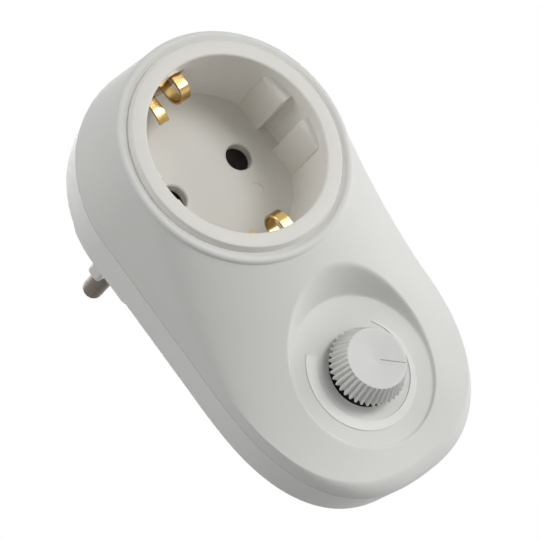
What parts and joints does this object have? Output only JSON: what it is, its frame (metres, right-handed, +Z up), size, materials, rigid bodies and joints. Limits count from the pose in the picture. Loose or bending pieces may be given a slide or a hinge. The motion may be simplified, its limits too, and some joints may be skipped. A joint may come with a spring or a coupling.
{
  "type": "plug in dimmer",
  "caption": "White plug-in lamp dimmer: an earthed round-well socket on a raised tower, a fluted rotary knob in a round dish below it and an earthed round-pin plug behind.",
  "frame": {"origin": "midway between the two plug pins, on the plug body's end face", "axes": "+X right as seen from the front, +Y into the wall along the pins, +Z up from the knob towards the socket"},
  "size_m": [0.0576, 0.0682, 0.1043],
  "materials": {
    "shell_white": "white moulded plastic, fine satin grain",
    "insert_white": "slightly warm white moulded plastic",
    "knob_white": "white moulded plastic, satin",
    "brass": "rolled brass strip",
    "nickel": "dull nickel plate",
    "steel": "zinc-plated steel",
    "aluminium": "plain sheet",
    "copper": "enamelled copper wire",
    "ferrite": "pressed iron powder",
    "black_plastic": "moulded black plastic",
    "board_green": "glass-fibre laminate",
    "film_yellow": "moulded capacitor case",
    "film_brown": "dipped capacitor coat",
    "resistor_blue": "lacquered body",
    "fuse_glass": "clear tube with metal caps",
    "wire_brown": "wire insulation",
    "wire_black": "wire insulation"
  },
  "bodies": {
    "housing": {"front_housing": "shell_white", "rear_cover": "shell_white", "socket_insert": "insert_white", "earth_clip_top": "brass", "earth_clip_bottom": "brass", "plug_pin_live": "nickel", "plug_pin_neutral": "nickel", "socket_contact_live": "brass", "socket_contact_neutral": "brass", "live_terminal": "brass", "earth_link": "brass", "plug_earth_contact_top": "brass", "plug_earth_contact_bottom": "brass", "circuit_board": "board_green", "potentiometer_case": "steel", "potentiometer_track": "black_plastic", "triac": "black_plastic", "heat_sink": "aluminium", "triac_screw": "steel", "choke_core": "ferrite", "choke_winding": "copper", "interference_capacitor": "film_yellow", "timing_capacitors": "film_brown", "resistors": "resistor_blue", "diac": "resistor_blue", "fuse": "fuse_glass", "fuse_clips": "nickel", "live_wire": "wire_brown", "dimmed_wire": "wire_black", "housing_screws": "steel"},
    "dial": {"knob": "knob_white", "potentiometer_wiper": "brass", "potentiometer_shaft": "steel"}
  },
  "joints": [
    {"name": "knob_turn", "type": "hinge", "parent": "housing", "child": "dial", "pos_m": [0, -0.036, -0.0516], "axis": [0, 1, 0], "range_deg": [-93, 198]}
  ]
}
